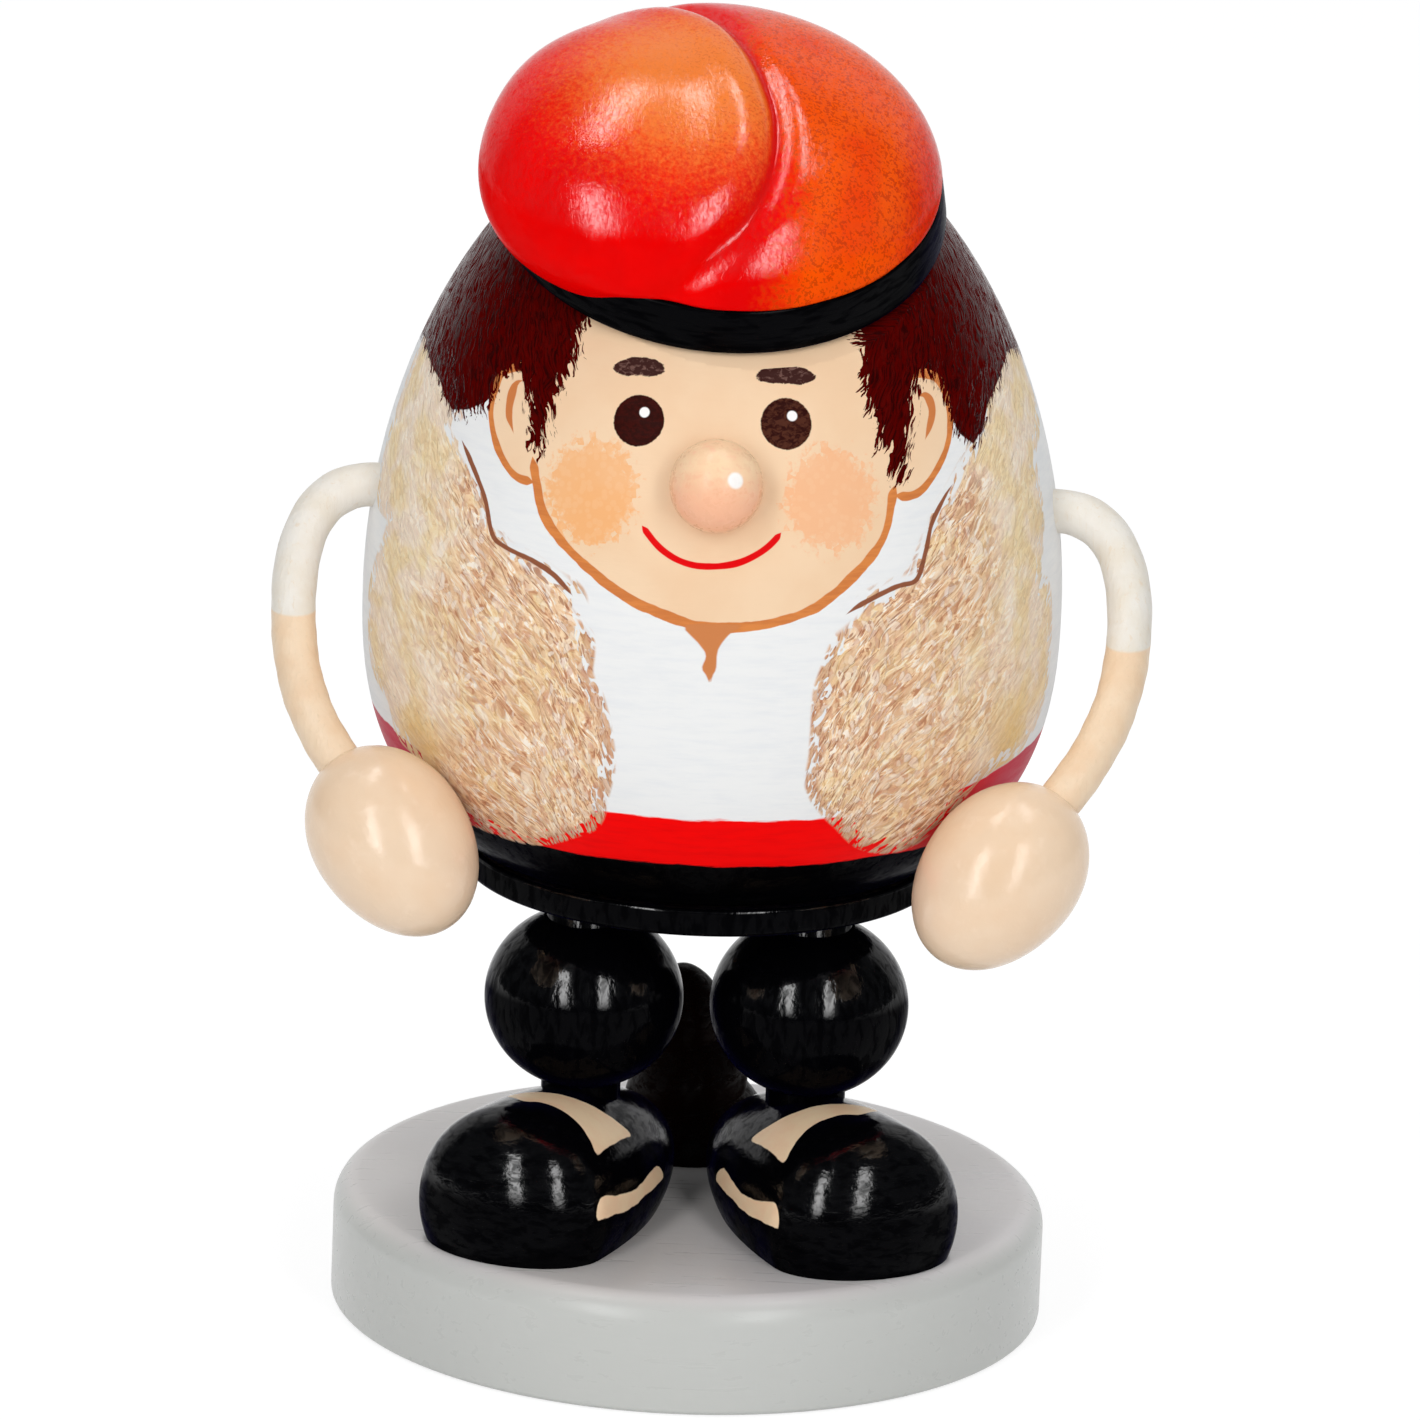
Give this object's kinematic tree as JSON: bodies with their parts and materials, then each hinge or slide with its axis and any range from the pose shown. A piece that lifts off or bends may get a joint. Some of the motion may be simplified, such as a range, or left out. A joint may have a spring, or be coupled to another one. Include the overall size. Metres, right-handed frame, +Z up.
{
  "type": "incense smoker",
  "caption": "Turned-wood incense smoker: a squatting figure in a red cap on a round base; its hollow body lifts off a dish for the incense cone and smokes through its back.",
  "frame": {"origin": "centre of the base's underside", "axes": "+Z up, the figure faces -Y, and the figure's own left is +X"},
  "size_m": [0.0876, 0.0743, 0.1343],
  "materials": {
    "base_grey": "grey gloss paint on turned wood",
    "black_gloss": "black gloss lacquer on turned wood",
    "painted_body": "hand-painted costume and face under clear gloss lacquer",
    "skin_gloss": "skin-coloured gloss lacquer",
    "nose_gloss": "rosy skin-coloured gloss lacquer",
    "painted_cane": "white and skin-coloured paint on bent cane",
    "cap_red": "red gloss lacquer with orange airbrushing",
    "heap_brown": "dark brown gloss paint",
    "bare_wood": "bare turned wood",
    "tin": "pressed tinplate",
    "nail_steel": "plain steel"
  },
  "bodies": {
    "stand": {"base": "base_grey", "shoe_left": "black_gloss", "shoe_right": "black_gloss", "leg_dowel_left": "black_gloss", "leg_dowel_right": "black_gloss", "knee_ball_left": "black_gloss", "knee_ball_right": "black_gloss", "seat_plate": "black_gloss", "cone_dish": "tin", "dish_nail": "nail_steel", "coiled_heap": "heap_brown"},
    "figure": {"body_shell": "painted_body", "nose": "nose_gloss", "arm_left": "painted_cane", "arm_right": "painted_cane", "hand_left": "skin_gloss", "hand_right": "skin_gloss", "cap_band": "black_gloss", "cap_crown": "cap_red", "cap_pin": "bare_wood"}
  },
  "joints": [
    {"name": "body_lift", "type": "slide", "parent": "stand", "child": "figure", "axis": [0, 0, 1], "range_m": [0, 0.09]}
  ]
}
